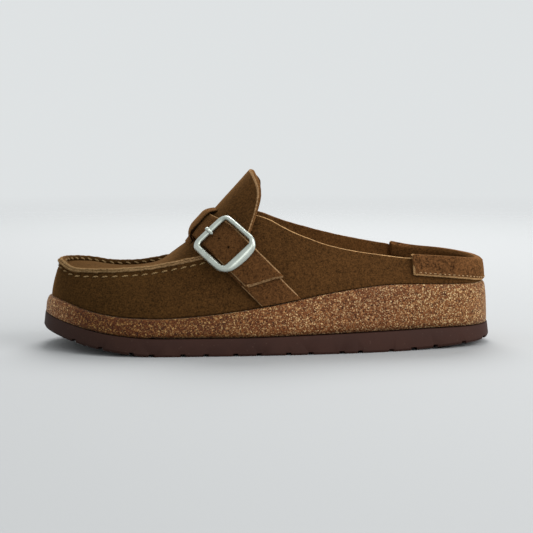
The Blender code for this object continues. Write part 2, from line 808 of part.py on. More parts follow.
def buckle_prong(place):
    """The tip of the prong, out of its hole in the strap and over the upper bar."""
    bar = (BUCKLE_LONG - BUCKLE_BAR) / 2
    path = (
        (-bar + 3.9, 0.9, 0.4),
        (-bar + 3.6, 1.3, 0.9),
        (-bar + 2.7, 2.9, 1.1),
        (-bar + 1.4, BUCKLE_HIGH + 1.5, 1.2),
        (-bar + 0.3, BUCKLE_HIGH + 1.55, 1.2),
        (-bar - 0.5, BUCKLE_HIGH + 1.4, 0.9),
        (-bar - 0.8, BUCKLE_HIGH + 1.2, 0.35),
    )
    turns = np.linspace(0, 2 * math.pi, 11)
    rows = []
    for down, up, radius in path:
        wide, high = 1.1 * radius * np.cos(turns) - 0.3, up + radius * np.sin(turns)
        rows.append([place(down, sideways, out) for sideways, out in zip(wide, high)])
    rows = np.array(rows)
    rows[:, -1] = rows[:, 0]
    caps = [np.stack([rows[k], np.repeat(rows[k, :-1].mean(axis=0)[None], 11, axis=0)]) for k in (0, -1)]
    return solid("buckle_prong", [rows] + caps, METAL)


for old in list(bpy.data.objects):
    bpy.data.objects.remove(old, do_unlink=True)
SHOE = bpy.data.collections.new("cork_footbed_clog")
CUTTERS = bpy.data.collections.new("cutters")
for group in (SHOE, CUTTERS):
    bpy.context.scene.collection.children.link(group)

SUEDE = material("brown suede", (0.06, 0.033, 0.014), 0.95)
LINING = material("footbed lining", (0.20, 0.125, 0.07), 0.95)
CORK = material("cork", (0.22, 0.11, 0.045), 0.9)
RUBBER = material("brown rubber", (0.045, 0.025, 0.02), 0.8)
METAL = material("satin metal", (0.5, 0.53, 0.49), 0.35, 1.0)

outsole()
cork_footbed()
insole()
UPPER = upper()
TONGUE_PIECE = tongue(UPPER)
ANCHOR = anchor_strap(UPPER)
STRAP_PIECE = instep_strap(UPPER, TONGUE_PIECE, ANCHOR)
strap_keeper(UPPER, TONGUE_PIECE, STRAP_PIECE)
heel_strip()
SEAT = strap_frame(STRAP_PIECE)
buckle_frame(SEAT)
buckle_prong(SEAT)
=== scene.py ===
"""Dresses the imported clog: suede, cork, rubber and metal, with its cut edges, seams and stitches."""

import math
from collections import namedtuple

import bpy
import numpy as np
from mathutils import Matrix, Vector, noise
from mathutils.bvhtree import BVHTree
from mathutils.kdtree import KDTree


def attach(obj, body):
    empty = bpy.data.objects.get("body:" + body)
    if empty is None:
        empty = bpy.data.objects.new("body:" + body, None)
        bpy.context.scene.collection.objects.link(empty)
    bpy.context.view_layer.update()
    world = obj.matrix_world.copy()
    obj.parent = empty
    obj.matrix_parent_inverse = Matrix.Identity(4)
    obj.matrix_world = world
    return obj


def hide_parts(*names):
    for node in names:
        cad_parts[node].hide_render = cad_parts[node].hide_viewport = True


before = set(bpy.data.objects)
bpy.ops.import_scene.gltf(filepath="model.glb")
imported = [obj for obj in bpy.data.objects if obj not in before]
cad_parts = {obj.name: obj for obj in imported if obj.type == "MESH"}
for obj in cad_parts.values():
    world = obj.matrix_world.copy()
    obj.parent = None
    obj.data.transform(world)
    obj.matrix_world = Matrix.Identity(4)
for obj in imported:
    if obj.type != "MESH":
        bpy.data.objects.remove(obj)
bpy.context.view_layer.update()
MM = 0.001
UP = Vector((0, 0, 1))

# Middle line of the shoe, in millimetres: its ends along the shoe and its height
MIDDLE_FRONT, MIDDLE_BACK, MIDDLE_HEIGHT = -80, 90, 30

# Places of a piece's finishes
FACE, CUT, FRAY, INNER = range(4)


# Working by hand

def rest():
    """Leaves edit mode with nothing selected."""
    if bpy.context.object and bpy.context.object.mode != "OBJECT":
        bpy.ops.object.mode_set(mode="OBJECT")
    bpy.ops.object.select_all(action="DESELECT")


def take(piece):
    """Makes one piece the selected and active one."""
    rest()
    piece.select_set(True)
    bpy.context.view_layer.objects.active = piece


def edit(piece, kind="VERT"):
    """Opens a piece in edit mode with nothing selected."""
    take(piece)
    bpy.ops.object.mode_set(mode="EDIT")
    bpy.ops.mesh.select_mode(type=kind)
    bpy.ops.mesh.select_all(action="DESELECT")


def edit_all(piece):
    """Opens a piece in edit mode with the whole of it selected."""
    edit(piece)
    bpy.ops.mesh.select_all(action="SELECT")


def finish_with(piece, kind, **settings):
    """Adds a modifier to a piece and applies it."""
    take(piece)
    bpy.ops.object.modifier_add(type=kind)
    made = piece.modifiers[-1]
    for name, value in settings.items():
        setattr(made, name, value)
    bpy.ops.object.modifier_apply(modifier=made.name)


def subdivide(piece, times):
    finish_with(piece, "SUBSURF", levels=times, render_levels=times)


def copy_of(node, name):
    """A copy of a CAD piece, with its loose triangles merged back into a grid of quads."""
    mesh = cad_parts[node].data.copy()
    mesh.materials.clear()
    mesh.name = name
    piece = bpy.data.objects.new(name, mesh)
    bpy.context.scene.collection.objects.link(piece)
    take(piece)
    bpy.ops.mesh.customdata_custom_splitnormals_clear()
    edit_all(piece)
    bpy.ops.mesh.remove_doubles(threshold=0.01 * MM)
    bpy.ops.mesh.tris_convert_to_quads(face_threshold=math.radians(50), shape_threshold=math.radians(75))
    rest()
    return piece


def crease(piece, sharper_than, amount):
    """Keeps the edges that are sharper than an angle, in degrees, from being rounded away."""
    edit(piece, "EDGE")
    bpy.ops.mesh.edges_select_sharp(sharpness=math.radians(sharper_than))
    bpy.ops.transform.edge_crease(value=amount)
    rest()


def smooth(piece, angle=None):
    """Shades a piece smooth, or only where its faces meet at less than an angle, in degrees."""
    take(piece)
    if angle is None:
        bpy.ops.object.shade_smooth()
    else:
        bpy.ops.object.shade_smooth_by_angle(angle=math.radians(angle))


def surface_of(piece):
    """A tree of a piece's faces that rays can be cast at."""
    mesh = piece.data
    return BVHTree.FromPolygons([v.co for v in mesh.vertices], [p.vertices for p in mesh.polygons])


def points_and_normals(piece):
    """Where a piece's points are and which way they face, as two tables."""
    found = []
    for name in ("co", "normal"):
        values = np.empty(len(piece.data.vertices) * 3, np.float32)
        piece.data.vertices.foreach_get(name, values)
        found.append(values.reshape(-1, 3).astype(float))
    return found


def move_points(piece, points):
    piece.data.vertices.foreach_set("co", points.astype(np.float32).ravel())
    piece.data.update()


def faces_by_edge(piece):
    """The faces beside each edge."""
    beside = {}
    for face in piece.data.polygons:
        for key in face.edge_keys:
            beside.setdefault(key, []).append(face)
    return beside


def mark_cut_edges(piece, wall):
    """Gives the cut finish to faces that have no other face within a wall behind them."""
    tree = surface_of(piece)
    for face in piece.data.polygons:
        start = face.center - face.normal * 0.02 * MM
        behind = tree.ray_cast(start, -face.normal, wall * MM)[0]
        face.material_index = CUT if behind is None else FACE


def mark_slanted_edges(piece, sharper_than):
    """Gives the cut finish to faces that have a sharp edge on each of two opposite sides."""
    beside = faces_by_edge(piece)
    sharp = set()
    for key, faces in beside.items():
        if len(faces) == 2 and faces[0].normal.angle(faces[1].normal, 0) > math.radians(sharper_than):
            sharp.add(key)
    for face in piece.data.polygons:
        keys = [set(key) for key in face.edge_keys if key in sharp]
        face.material_index = CUT if any(not a & b for a in keys for b in keys) else FACE


def bevel_where(piece, chosen, width, finish, segments=1):
    """Bevels the edges for which a test of their two faces holds, where both faces have room to spare."""
    spare = 1.1
    edit(piece, "EDGE")
    rest()
    beside = faces_by_edge(piece)
    points = piece.data.vertices
    for edge in piece.data.edges:
        faces = beside[edge.key]
        start, end = edge.vertices
        room = min(face.area for face in faces) / (points[start].co - points[end].co).length
        edge.select = len(faces) == 2 and chosen(*faces) and room > spare * width * MM
    take(piece)
    bpy.ops.object.mode_set(mode="EDIT")
    bpy.ops.mesh.bevel(offset=width * MM, segments=segments, material=finish, clamp_overlap=True)
    rest()


def is_corner(first, second):
    """A corner of the outline of a cut sheet."""
    both_cut = first.material_index == second.material_index == CUT
    return both_cut and first.normal.angle(second.normal, 0) > math.radians(50)


def looks_out(face):
    """Whether a face looks out from the middle line of the shoe."""
    along = min(max(face.center.x, MIDDLE_FRONT * MM), MIDDLE_BACK * MM)
    return face.normal.dot(face.center - Vector((along, 0, MIDDLE_HEIGHT * MM))) > 0


def by_finish(first, second):
    """Two faces, with the one of the earlier finish first."""
    return sorted((first, second), key=lambda face: face.material_index)


def is_rim(first, second, front=0.0):
    """The rim of a cut on the side that looks out; where it faces the toe, only below a height, so that
    cuts facing the toe above it keep the darker cut finish as painted shade.
    """
    face, cut = by_finish(first, second)
    if (face.material_index, cut.material_index) != (FACE, CUT) or not looks_out(face):
        return False
    # Cuts facing the toe get no pale rim: painted shade.
    faces_toe = cut.normal.x < -0.3 and cut.center.x < 0
    return not faces_toe or cut.center.z < front * MM


def is_worn_end(first, second):
    """The rim at the low end of a strap, where the most nap is worn away."""
    return is_rim(first, second) and by_finish(first, second)[1].normal.z < -0.45


def roughen_cut(piece, depth):
    """Makes the cut edges uneven, as hide is when it is cut."""
    coarse, fine = 420, 1100
    points, normals = points_and_normals(piece)
    frayed = [face for face in piece.data.polygons if face.material_index in (CUT, FRAY)]
    for index in {corner for face in frayed for corner in face.vertices}:
        at = Vector(points[index])
        fray = noise.noise(at * coarse) + 0.6 * noise.noise(at * fine)
        points[index] += normals[index] * fray * depth * MM
    move_points(piece, points)


def dress(piece, slot, *finishes, node=None):
    """Gives a piece its finishes and its place on the body, and hides the CAD piece that it stands for.
    """
    for finish in finishes:
        piece.data.materials.append(finish)
    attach(piece, "root")
    if node:
        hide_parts(node)


# Materials

def feed(tree, socket, value):
    """Wires an input to another node's socket, or sets it to a value."""
    if isinstance(value, bpy.types.NodeSocket):
        tree.links.new(value, socket)
    else:
        socket.default_value = value


def put(tree, kind, settings=(), **inputs):
    """Adds a node; its inputs are given by name, or by number after an underscore."""
    made = tree.nodes.new("ShaderNode" + kind)
    for name, value in dict(settings).items():
        setattr(made, name, value)
    for name, value in inputs.items():
        label = int(name[1:]) if name[1:].isdigit() else name.replace("_", " ")
        feed(tree, made.inputs[label], value)
    return made


def blend(tree, factor, first, second, mode="MIX"):
    """Mixes two colours."""
    made = put(tree, "Mix", {"data_type": "RGBA", "blend_type": mode}, _0=factor, _6=first, _7=second)
    return made.outputs[2]


def sums(tree, how, first, second):
    """Joins two values by a step of arithmetic."""
    return put(tree, "Math", {"operation": how}, _0=first, _1=second).outputs[0]


def between(tree, value, low, high, to_low=0.0, to_high=1.0):
    """Carries a range of values over to another range."""
    limits = {"From_Min": low, "From_Max": high, "To_Min": to_low, "To_Max": to_high}
    return put(tree, "MapRange", (), Value=value, **limits).outputs[0]


def lengthways(tree, place):
    """How far along the shoe a point is, in metres."""
    return put(tree, "SeparateXYZ", (), Vector=place).outputs["X"]


def ramp(tree, value, *stops):
    """Colours at places along a value."""
    made = put(tree, "ValToRGB", (), Fac=value)
    band = made.color_ramp.elements
    while len(band) < len(stops):
        band.new(0.5)
    for element, (at, colour) in zip(band, stops):
        element.position = at
        element.color = colour
    return made.outputs[0]


def tone(red, green, blue):
    """A colour as a paint card gives it, from 0 to 255, made linear."""
    def linear(part):
        part /= 255
        return part / 12.92 if part <= 0.04045 else ((part + 0.055) / 1.055) ** 2.4

    return (linear(red), linear(green), linear(blue), 1.0)


def new_group(name, inputs, outputs):
    """An empty group of nodes, with its inputs and outputs given as labels and kinds."""
    group = bpy.data.node_groups.new(name, "ShaderNodeTree")
    for label, kind in inputs:
        group.interface.new_socket(label, in_out="INPUT", socket_type="NodeSocket" + kind)
    for label, kind in outputs:
        group.interface.new_socket(label, in_out="OUTPUT", socket_type="NodeSocket" + kind)
    start = group.nodes.new("NodeGroupInput")
    end = group.nodes.new("NodeGroupOutput")
    return group, start.outputs, end.inputs


def nap_group():
    """Brushed fibres: fine hairs, small tufts and broad brush marks."""
    group, start, end = new_group(
        "suede nap",
        (
            ("Place", "Vector"), ("Deep", "Color"), ("Raised", "Color"),
            ("Fineness", "Float"), ("Marks", "Float"),
        ),
        (("Colour", "Color"), ("Height", "Float")),
    )
    place, fineness = start["Place"], start["Fineness"]
    coarser = sums(group, "MULTIPLY", fineness, 0.45)
    hairs = put(group, "TexNoise", (), Vector=place, Scale=fineness, Detail=3.0, Roughness=0.65)
    tufts = put(group, "TexNoise", (), Vector=place, Scale=coarser, Detail=4.0, Roughness=0.6)
    uneven = {"Detail": 3.0, "Roughness": 0.55, "Distortion": 0.8}
    marks = put(group, "TexNoise", (), Vector=place, Scale=55.0, **uneven)
    fine = between(group, hairs.outputs[0], 0.34, 0.66, -0.5, 0.5)
    middle = between(group, tufts.outputs[0], 0.34, 0.66, -0.5, 0.5)
    broad = between(group, marks.outputs[0], 0.35, 0.65, -0.5, 0.5)
    broad = sums(group, "MULTIPLY", broad, start["Marks"])
    shade = sums(group, "ADD", sums(group, "MULTIPLY", fine, 0.75), sums(group, "MULTIPLY", middle, 0.4))
    shade = sums(group, "ADD", sums(group, "ADD", shade, broad), 0.5)
    group.links.new(blend(group, shade, start["Deep"], start["Raised"]), end["Colour"])
    height = sums(group, "ADD", hairs.outputs[0], tufts.outputs[0])
    group.links.new(height, end["Height"])
    return group


def specks_group():
    """Small flecks scattered over a surface, as a mask."""
    group, start, end = new_group(
        "specks", (("Place", "Vector"), ("Fineness", "Float"), ("Share", "Float")), (("Mask", "Float"),)
    )
    cells = put(group, "TexVoronoi", (), Vector=start["Place"], Scale=start["Fineness"])
    pick = put(group, "SeparateColor", (), Color=cells.outputs["Color"])
    chosen = sums(group, "LESS_THAN", pick.outputs[0], start["Share"])
    core = between(group, cells.outputs["Distance"], 0.25, 0.5, 1.0, 0.0)
    group.links.new(sums(group, "MULTIPLY", chosen, core), end["Mask"])
    return group


def with_group(tree, group, **inputs):
    """Puts a group of nodes to use in a material."""
    made = tree.nodes.new("ShaderNodeGroup")
    made.node_tree = group
    for name, value in inputs.items():
        feed(tree, made.inputs[name], value)
    return made


def new_material(name, **constants):
    """A material, its shader with the constants set, and the object's own coordinates."""
    made = bpy.data.materials.new(name)
    made.use_nodes = True
    tree = made.node_tree
    shader = tree.nodes["Principled BSDF"]
    for label, value in constants.items():
        shader.inputs[label.replace("_", " ")].default_value = value
    return made, tree, shader, put(tree, "TexCoord").outputs["Object"]


def relief(tree, shader, height, depth, strength):
    """Fine relief in the shading, with its depth in millimetres."""
    bump = put(tree, "Bump", (), Height=height, Distance=depth * MM, Strength=strength)
    tree.links.new(bump.outputs[0], shader.inputs["Normal"])


NAP = nap_group()
SPECKS = specks_group()


def suede(name, deep, raised, fineness=1150.0, marks=0.15, **constants):
    """Brushed hide, with painted shade that darkens it towards the toe."""
    made, tree, shader, place = new_material(name, **constants)
    nap = with_group(tree, NAP, Place=place, Deep=deep, Raised=raised, Fineness=fineness, Marks=marks)
    # Painted shade: the hide is darkened towards the toe.
    painted_toe_shade = between(tree, lengthways(tree, place), 0.02, -0.09)
    colour = blend(tree, painted_toe_shade, nap.outputs["Colour"], tone(208, 214, 206), "MULTIPLY")
    tree.links.new(colour, shader.inputs["Base Color"])
    relief(tree, shader, nap.outputs["Height"], depth=0.25, strength=0.55)
    return made


def cork_finish():
    """Pressed chips and crumbs with dark gaps between them, with painted light and shade along the shoe.
    """
    made, tree, shader, place = new_material(
        "pressed cork", Specular_IOR_Level=0.15, Coat_Weight=0.06, Coat_Roughness=0.4,
        Sheen_Weight=0.24, Sheen_Roughness=0.25, Sheen_Tint=tone(240, 220, 190),
    )
    chips = put(tree, "TexVoronoi", (), Vector=place, Scale=1250.0)
    crumbs = put(tree, "TexVoronoi", (), Vector=place, Scale=2000.0)
    edges = put(tree, "TexVoronoi", {"feature": "DISTANCE_TO_EDGE"}, Vector=place, Scale=1250.0)
    clouds = put(tree, "TexNoise", (), Vector=place, Scale=60.0, Detail=3.0)
    chip = put(tree, "SeparateColor", (), Color=chips.outputs["Color"])
    crumb = put(tree, "SeparateColor", (), Color=crumbs.outputs["Color"])
    large = ramp(
        tree, chip.outputs[0],
        (0.0, tone(60, 31, 11)), (0.28, tone(116, 68, 36)), (0.66, tone(140, 91, 54)),
        (0.82, tone(186, 138, 92)), (1.0, tone(238, 213, 170)),
    )
    small = ramp(
        tree, crumb.outputs[0],
        (0.0, tone(56, 28, 10)), (0.35, tone(116, 70, 37)), (0.72, tone(150, 101, 60)),
        (1.0, tone(238, 215, 172)),
    )
    colour = blend(tree, between(tree, chip.outputs[1], 0.35, 0.6), large, small)
    gap = between(tree, edges.outputs["Distance"], 0.0, 0.1, 0.6, 0.0)
    colour = blend(tree, gap, colour, tone(74, 44, 20))
    clouded = between(tree, clouds.outputs[0], 0.35, 0.7, 0.0, 0.15)
    colour = blend(tree, clouded, colour, tone(112, 70, 46))
    # Painted light and shade along the shoe: darker towards the toe, lighter towards the heel, with a
    # painted sheen on the toe's end.
    painted_light_ramp = ramp(
        tree, between(tree, lengthways(tree, place), -0.13, 0.13),
        (0.015, tone(240, 224, 200)), (0.075, tone(166, 141, 100)), (0.33, tone(193, 172, 138)),
        (0.52, tone(240, 224, 201)), (0.73, tone(230, 216, 201)), (0.92, tone(249, 242, 223)),
    )
    colour = blend(tree, 1.0, colour, painted_light_ramp, "MULTIPLY")
    tree.links.new(colour, shader.inputs["Base Color"])
    rough = between(tree, crumb.outputs[1], 0.0, 1.0, 0.65, 0.9)
    tree.links.new(rough, shader.inputs["Roughness"])
    crack = between(tree, edges.outputs["Distance"], 0.0, 0.12, -0.6, 0.4)
    relief(tree, shader, sums(tree, "ADD", crumb.outputs[2], crack), depth=0.18, strength=0.5)
    return made


def rubber_finish(name, ribs):
    """Dull brown rubber with painted shade that darkens it towards the toe; the tread has fine ribs
    between its bars.
    """
    made, tree, shader, place = new_material(name, Specular_IOR_Level=0.12)
    fine = put(tree, "TexNoise", (), Vector=place, Scale=1700.0, Detail=3.0)
    clouds = put(tree, "TexNoise", (), Vector=place, Scale=45.0, Detail=4.0)
    colour = ramp(tree, clouds.outputs[0], (0.3, tone(52, 31, 25)), (0.7, tone(62, 39, 32)))
    pale = with_group(tree, SPECKS, Place=place, Fineness=900.0, Share=0.04)
    colour = blend(tree, sums(tree, "MULTIPLY", pale.outputs[0], 0.18), colour, tone(104, 80, 70))
    # Painted shade: the rubber is darkened towards the toe.
    painted_rubber_shade = between(tree, lengthways(tree, place), -0.05, -0.11)
    colour = blend(tree, painted_rubber_shade, colour, tone(222, 228, 226), "MULTIPLY")
    tree.links.new(colour, shader.inputs["Base Color"])
    tree.links.new(between(tree, clouds.outputs[0], 0.3, 0.7, 0.6, 0.75), shader.inputs["Roughness"])
    if ribs:
        rows = put(tree, "TexWave", {"bands_direction": "X"}, Vector=place, Scale=95.0, Distortion=0.0)
        relief(tree, shader, rows.outputs[1], depth=0.5, strength=0.7)
    else:
        relief(tree, shader, fine.outputs[0], depth=0.12, strength=0.35)
    return made


def metal_finish():
    """Pale metal, tumbled until it is no longer bright."""
    made, tree, shader, place = new_material("satin metal", Metallic=1.0)
    grain = put(tree, "TexNoise", (), Vector=place, Scale=2600.0, Detail=2.0)
    clouds = put(tree, "TexNoise", (), Vector=place, Scale=160.0, Detail=3.0)
    colour = ramp(tree, clouds.outputs[0], (0.3, tone(178, 185, 176)), (0.7, tone(196, 202, 193)))
    tree.links.new(colour, shader.inputs["Base Color"])
    tree.links.new(between(tree, grain.outputs[0], 0.3, 0.7, 0.34, 0.42), shader.inputs["Roughness"])
    relief(tree, shader, grain.outputs[0], depth=0.02, strength=0.12)
    return made


def thread_finish(name, deep, raised):
    """Twisted thread."""
    made, tree, shader, place = new_material(name, Roughness=0.85, Specular_IOR_Level=0.15)
    slanted = {"bands_direction": "DIAGONAL"}
    twist = put(tree, "TexWave", slanted, Vector=place, Scale=420.0, Distortion=1.5)
    colour = ramp(tree, twist.outputs[1], (0.2, deep), (0.8, raised))
    tree.links.new(colour, shader.inputs["Base Color"])
    relief(tree, shader, twist.outputs[1], depth=0.1, strength=0.4)
    return made


BRUSHED = {
    "Roughness": 1.0, "Specular_IOR_Level": 0.02,
    "Sheen_Weight": 0.35, "Sheen_Roughness": 0.4, "Sheen_Tint": tone(205, 150, 90),
}
RUBBED = {"fineness": 950.0, "marks": 0.22, **BRUSHED}
FRAYED = {"fineness": 1700.0, "marks": 0.2, **BRUSHED}
SUEDE = suede("brown suede", tone(47, 30, 14), tone(95, 63, 33), **BRUSHED)
STRAP_SUEDE = suede("strap suede", tone(55, 34, 18), tone(112, 74, 42), **BRUSHED)
FLESH_SIDE = suede("flesh side", tone(64, 41, 19), tone(118, 80, 44), **BRUSHED)
WORN_SUEDE = suede("worn suede", tone(44, 27, 13), tone(120, 80, 47), **RUBBED)
LINING = suede("footbed lining", tone(96, 68, 42), tone(142, 106, 70), **BRUSHED)
SEAM_EDGE = suede("seam edge", tone(84, 58, 34), tone(184, 146, 106), **FRAYED)
CUT_EDGE = suede("cut edge", tone(128, 94, 58), tone(204, 164, 116), **FRAYED)
CUT_FACE = suede("cut face", tone(66, 42, 21), tone(124, 86, 52), **FRAYED)
# Nearly black: painted shade for the keeper's cuts, under its loop.
KEEPER_PAINTED_SHADE = suede("painted shade edge", tone(14, 8, 4), tone(38, 23, 11), **FRAYED)
CORK = cork_finish()
RUBBER = rubber_finish("foamed rubber", ribs=False)
TREAD = rubber_finish("ribbed tread", ribs=True)
METAL = metal_finish()
SEAM_THREAD = thread_finish("waxed thread", tone(104, 82, 50), tone(152, 124, 84))
HEEL_THREAD = thread_finish("pale thread", tone(124, 94, 60), tone(184, 150, 110))


# Soft forms

Trough = namedtuple("Trough", "start end width depth")

# Shallow creases of the upper and the hollow of its plug, in millimetres
UPPER_CREASES = (
    Trough((-62, -34, 46), (-30, -44, 33), 7.0, 0.55),
    Trough((-50, -40, 46), (-16, -47, 34), 6.0, 0.45),
    Trough((-100, -40, 40), (-84, -44, 30), 8.0, 0.35),
    Trough((-112, 3, 48), (-86, 5, 47), 11.0, 1.3),
    Trough((-66, -22, 52), (-66, 24, 52), 6.0, 0.7),
    Trough((-78, -20, 50), (-76, 22, 50), 7.0, 0.4),
    Trough((-58, 36, 46), (-28, 36, 34), 7.0, 0.5),
    Trough((30, -38, 58), (52, -44, 42), 9.0, 0.45),
    Trough((78, -36, 50), (96, -34, 42), 8.0, 0.35),
    Trough((30, 30, 60), (54, 31, 44), 9.0, 0.45),
)


def press(piece, creases, swell):
    """Presses creases into the outer face and lets the whole of it swell and sink a little."""
    swells_a_metre = 45
    points, normals = points_and_normals(piece)
    depth = np.array([-swell * noise.noise(Vector(point) * swells_a_metre) for point in points])
    for trough in creases:
        start, end = np.array(trough.start) * MM, np.array(trough.end) * MM
        way = end - start
        share = np.clip((points - start) @ way / (way @ way), 0, 1)
        near = np.linalg.norm(points - start - share[:, None] * way, axis=1) / (trough.width * MM)
        depth += trough.depth * np.exp(-near * near)
    outside = normals[:, 1] * points[:, 1] + normals[:, 2] * (points[:, 2] - MIDDLE_HEIGHT * MM) > 0
    move_points(piece, points - normals * (depth * outside * MM)[:, None])


def soft_copy(node, name, sharper_than):
    """A CAD solid rounded by subdivision, but for its sharper edges."""
    piece = copy_of(node, name)
    crease(piece, sharper_than, amount=0.75)
    subdivide(piece, 2)
    smooth(piece)
    return piece


# Finishes of the sheets of hide: outer face, cut, frayed rim and inner face
UPPER_FINISHES = (SUEDE, CUT_FACE, CUT_EDGE, FLESH_SIDE)
FLAP_FINISHES = (SUEDE, CUT_FACE, SEAM_EDGE, SUEDE)
STRAP_FINISHES = (STRAP_SUEDE, CUT_FACE, SEAM_EDGE, STRAP_SUEDE)
# The keeper's cut faces are painted in shade.
KEEPER_FINISHES = (STRAP_SUEDE, KEEPER_PAINTED_SHADE, STRAP_SUEDE, STRAP_SUEDE)
HEEL_FINISHES = (WORN_SUEDE, CUT_FACE, CUT_EDGE, SUEDE)

# Sheets of hide, in millimetres; one without a wall is cut at a slant, and corners and rims are bevels
# Edges that face the toe have a rim only below front, and stay dark above it as painted shade; ends that
# hang below tucked are sewn in
Hide = namedtuple("Hide", "node name wall corner rim front tucked swell finishes")
UPPER_HIDE = Hide("upper", "suede_upper", 0, 0, 0.8, 0, 0, 0.22, UPPER_FINISHES)
OVERLAYS = (
    Hide("tongue", "suede_flap", 0, 0, 0.35, 0, 0, 0.2, FLAP_FINISHES),
    Hide("anchor_strap", "suede_strap_anchor", 3.2, 0, 0.5, 40, 37, 0.1, STRAP_FINISHES),
    Hide("instep_strap", "suede_strap", 3.2, 1.8, 0.6, 55, 37, 0.12, STRAP_FINISHES),
    Hide("strap_keeper", "suede_keeper", 0, 0, 0.4, 0, 0, 0.1, KEEPER_FINISHES),
    Hide("heel_strip", "suede_heel_strip", 2.2, 0, 1.0, 0, 0, 0.2, HEEL_FINISHES),
)

# Front end of the collar, in millimetres
COLLAR_FRONT = -10.0


def is_sewn_in(hide, face):
    """Whether no cut shows at a face: on the upper below its collar, and at the low end of a strap."""
    if hide is UPPER_HIDE:
        return face.normal.z < 0.4 or face.center.x < COLLAR_FRONT * MM
    return face.normal.z < -0.4 and face.normal.x > -0.2 and face.center.z < hide.tucked * MM


def cut_hide(hide):
    """A CAD sheet as cut hide, with rounded corners, frayed rims and a surface that swells a little."""
    piece = copy_of(hide.node, hide.name)
    dress(piece, "brown_suede", *hide.finishes, node=hide.node)
    if hide.wall:
        mark_cut_edges(piece, hide.wall)
    else:
        mark_slanted_edges(piece, sharper_than=33)
    for face in piece.data.polygons:
        if is_sewn_in(hide, face):
            face.material_index = FACE
    if hide.corner:
        bevel_where(piece, is_corner, hide.corner, CUT, segments=4)
        bevel_where(piece, is_worn_end, 2 * hide.rim, FRAY)
    bevel_where(piece, lambda first, second: is_rim(first, second, hide.front), hide.rim, FRAY)
    for face in piece.data.polygons:
        if face.material_index == FACE and not looks_out(face):
            face.material_index = INNER
    crease(piece, sharper_than=32, amount=0.55)
    subdivide(piece, 2)
    smooth(piece)
    roughen_cut(piece, depth=0.14)
    press(piece, UPPER_CREASES if hide is UPPER_HIDE else (), hide.swell)
    return piece


def sew_down(keeper, reach, depth, padding):
    """Sinks both ends of the keeper into the hide under them, and pads it under its front bend."""
    bend = 4
    below = [surface_of(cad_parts[node]) for node in ("upper", "tongue")]
    points, normals = points_and_normals(keeper)
    middle = points.mean(axis=0)
    way = np.linalg.svd(points - middle, full_matrices=False)[2][0]
    way *= np.sign(way[0])
    along = (points - middle) @ way / MM
    from_front, from_back = along - along.min(), along.max() - along
    for k, point in enumerate(points):
        under = min((tree.find_nearest(Vector(point)) for tree in below), key=lambda found: found[3])
        share = max(0.0, 1 - min(from_front[k], from_back[k]) / reach)
        move = -np.array(under[1]) * depth * share**1.3
        if under[1].dot(Vector(normals[k])) < 0:
            move += normals[k] * padding * math.exp(-(((from_front[k] - reach) / bend) ** 2))
        points[k] = point + move * MM
    move_points(keeper, points)
    edit_all(keeper)
    bpy.ops.mesh.vertices_smooth(factor=0.5, repeat=4)
    rest()


def footbed():
    """The cork and the lining in its dish."""
    cork = soft_copy("cork_footbed", "cork_body", sharper_than=60)
    dress(cork, "cork", CORK, node="cork_footbed")
    lining = soft_copy("insole", "suede_footbed_lining", sharper_than=50)
    dress(lining, "footbed_lining", LINING, node="insole")


def rubber_sole():
    """The outsole with its edges broken, and its tread ribbed underneath."""
    piece = copy_of("outsole", "rubber_sole")
    edit_all(piece)
    bpy.ops.mesh.dissolve_limited(angle_limit=math.radians(0.6))
    rest()
    sharp = math.radians(38)
    finish_with(piece, "BEVEL", width=0.45 * MM, segments=2, limit_method="ANGLE", angle_limit=sharp)
    smooth(piece, angle=30)
    for face in piece.data.polygons:
        looks_down = face.normal.z < -0.7
        face.material_index = int(looks_down)
    dress(piece, "brown_rubber", RUBBER, TREAD, node="outsole")


# Holes of the strap, in millimetres
HOLES = ((-32.3, -29.0, 66.1), (-27.3, -36.3, 61.7))
HOLE_RADIUS, PIN_LENGTH = 0.8, 5
DOWN_STRAP = (Vector(HOLES[1]) - Vector(HOLES[0])).normalized()

# Metal pieces, and how much fatter than its solid each is once it is smoothed, in millimetres
Metalwork = namedtuple("Metalwork", "node name fatter")
FRAME = Metalwork("buckle_frame", "metal_buckle", 0.26)
PRONG = Metalwork("buckle_prong", "metal_prong", -0.1)
BAR_WIDTH, BAR_DROP = 3.6, 1.45


def slope_off(ring, way, width, drop):
    """Lets the top of a flat ring fall away towards its side that lies one way."""
    points, normals = points_and_normals(ring)
    facing = np.linalg.svd(points - points.mean(axis=0), full_matrices=False)[2][2]
    facing = facing * np.sign(facing[2])
    along = points @ np.array(way)
    share = np.clip(1 - (along.max() - along) / (width * MM), 0, 1)
    top = (1 + normals @ facing) / 2
    move_points(ring, points - np.outer(drop * MM * share * share * top, facing))


def buckle():
    """The frame and its prong, rounded as cast metal is; the frame's wide bar slopes off."""
    for metal in (FRAME, PRONG):
        piece = copy_of(metal.node, metal.name)
        subdivide(piece, 2)
        edit_all(piece)
        bpy.ops.mesh.vertices_smooth(factor=0.5, repeat=4)
        bpy.ops.transform.shrink_fatten(value=metal.fatter * MM)
        smooth(piece)
        if metal is FRAME:
            slope_off(piece, DOWN_STRAP, BAR_WIDTH, BAR_DROP)
        dress(piece, "satin_metal", METAL, node=metal.node)


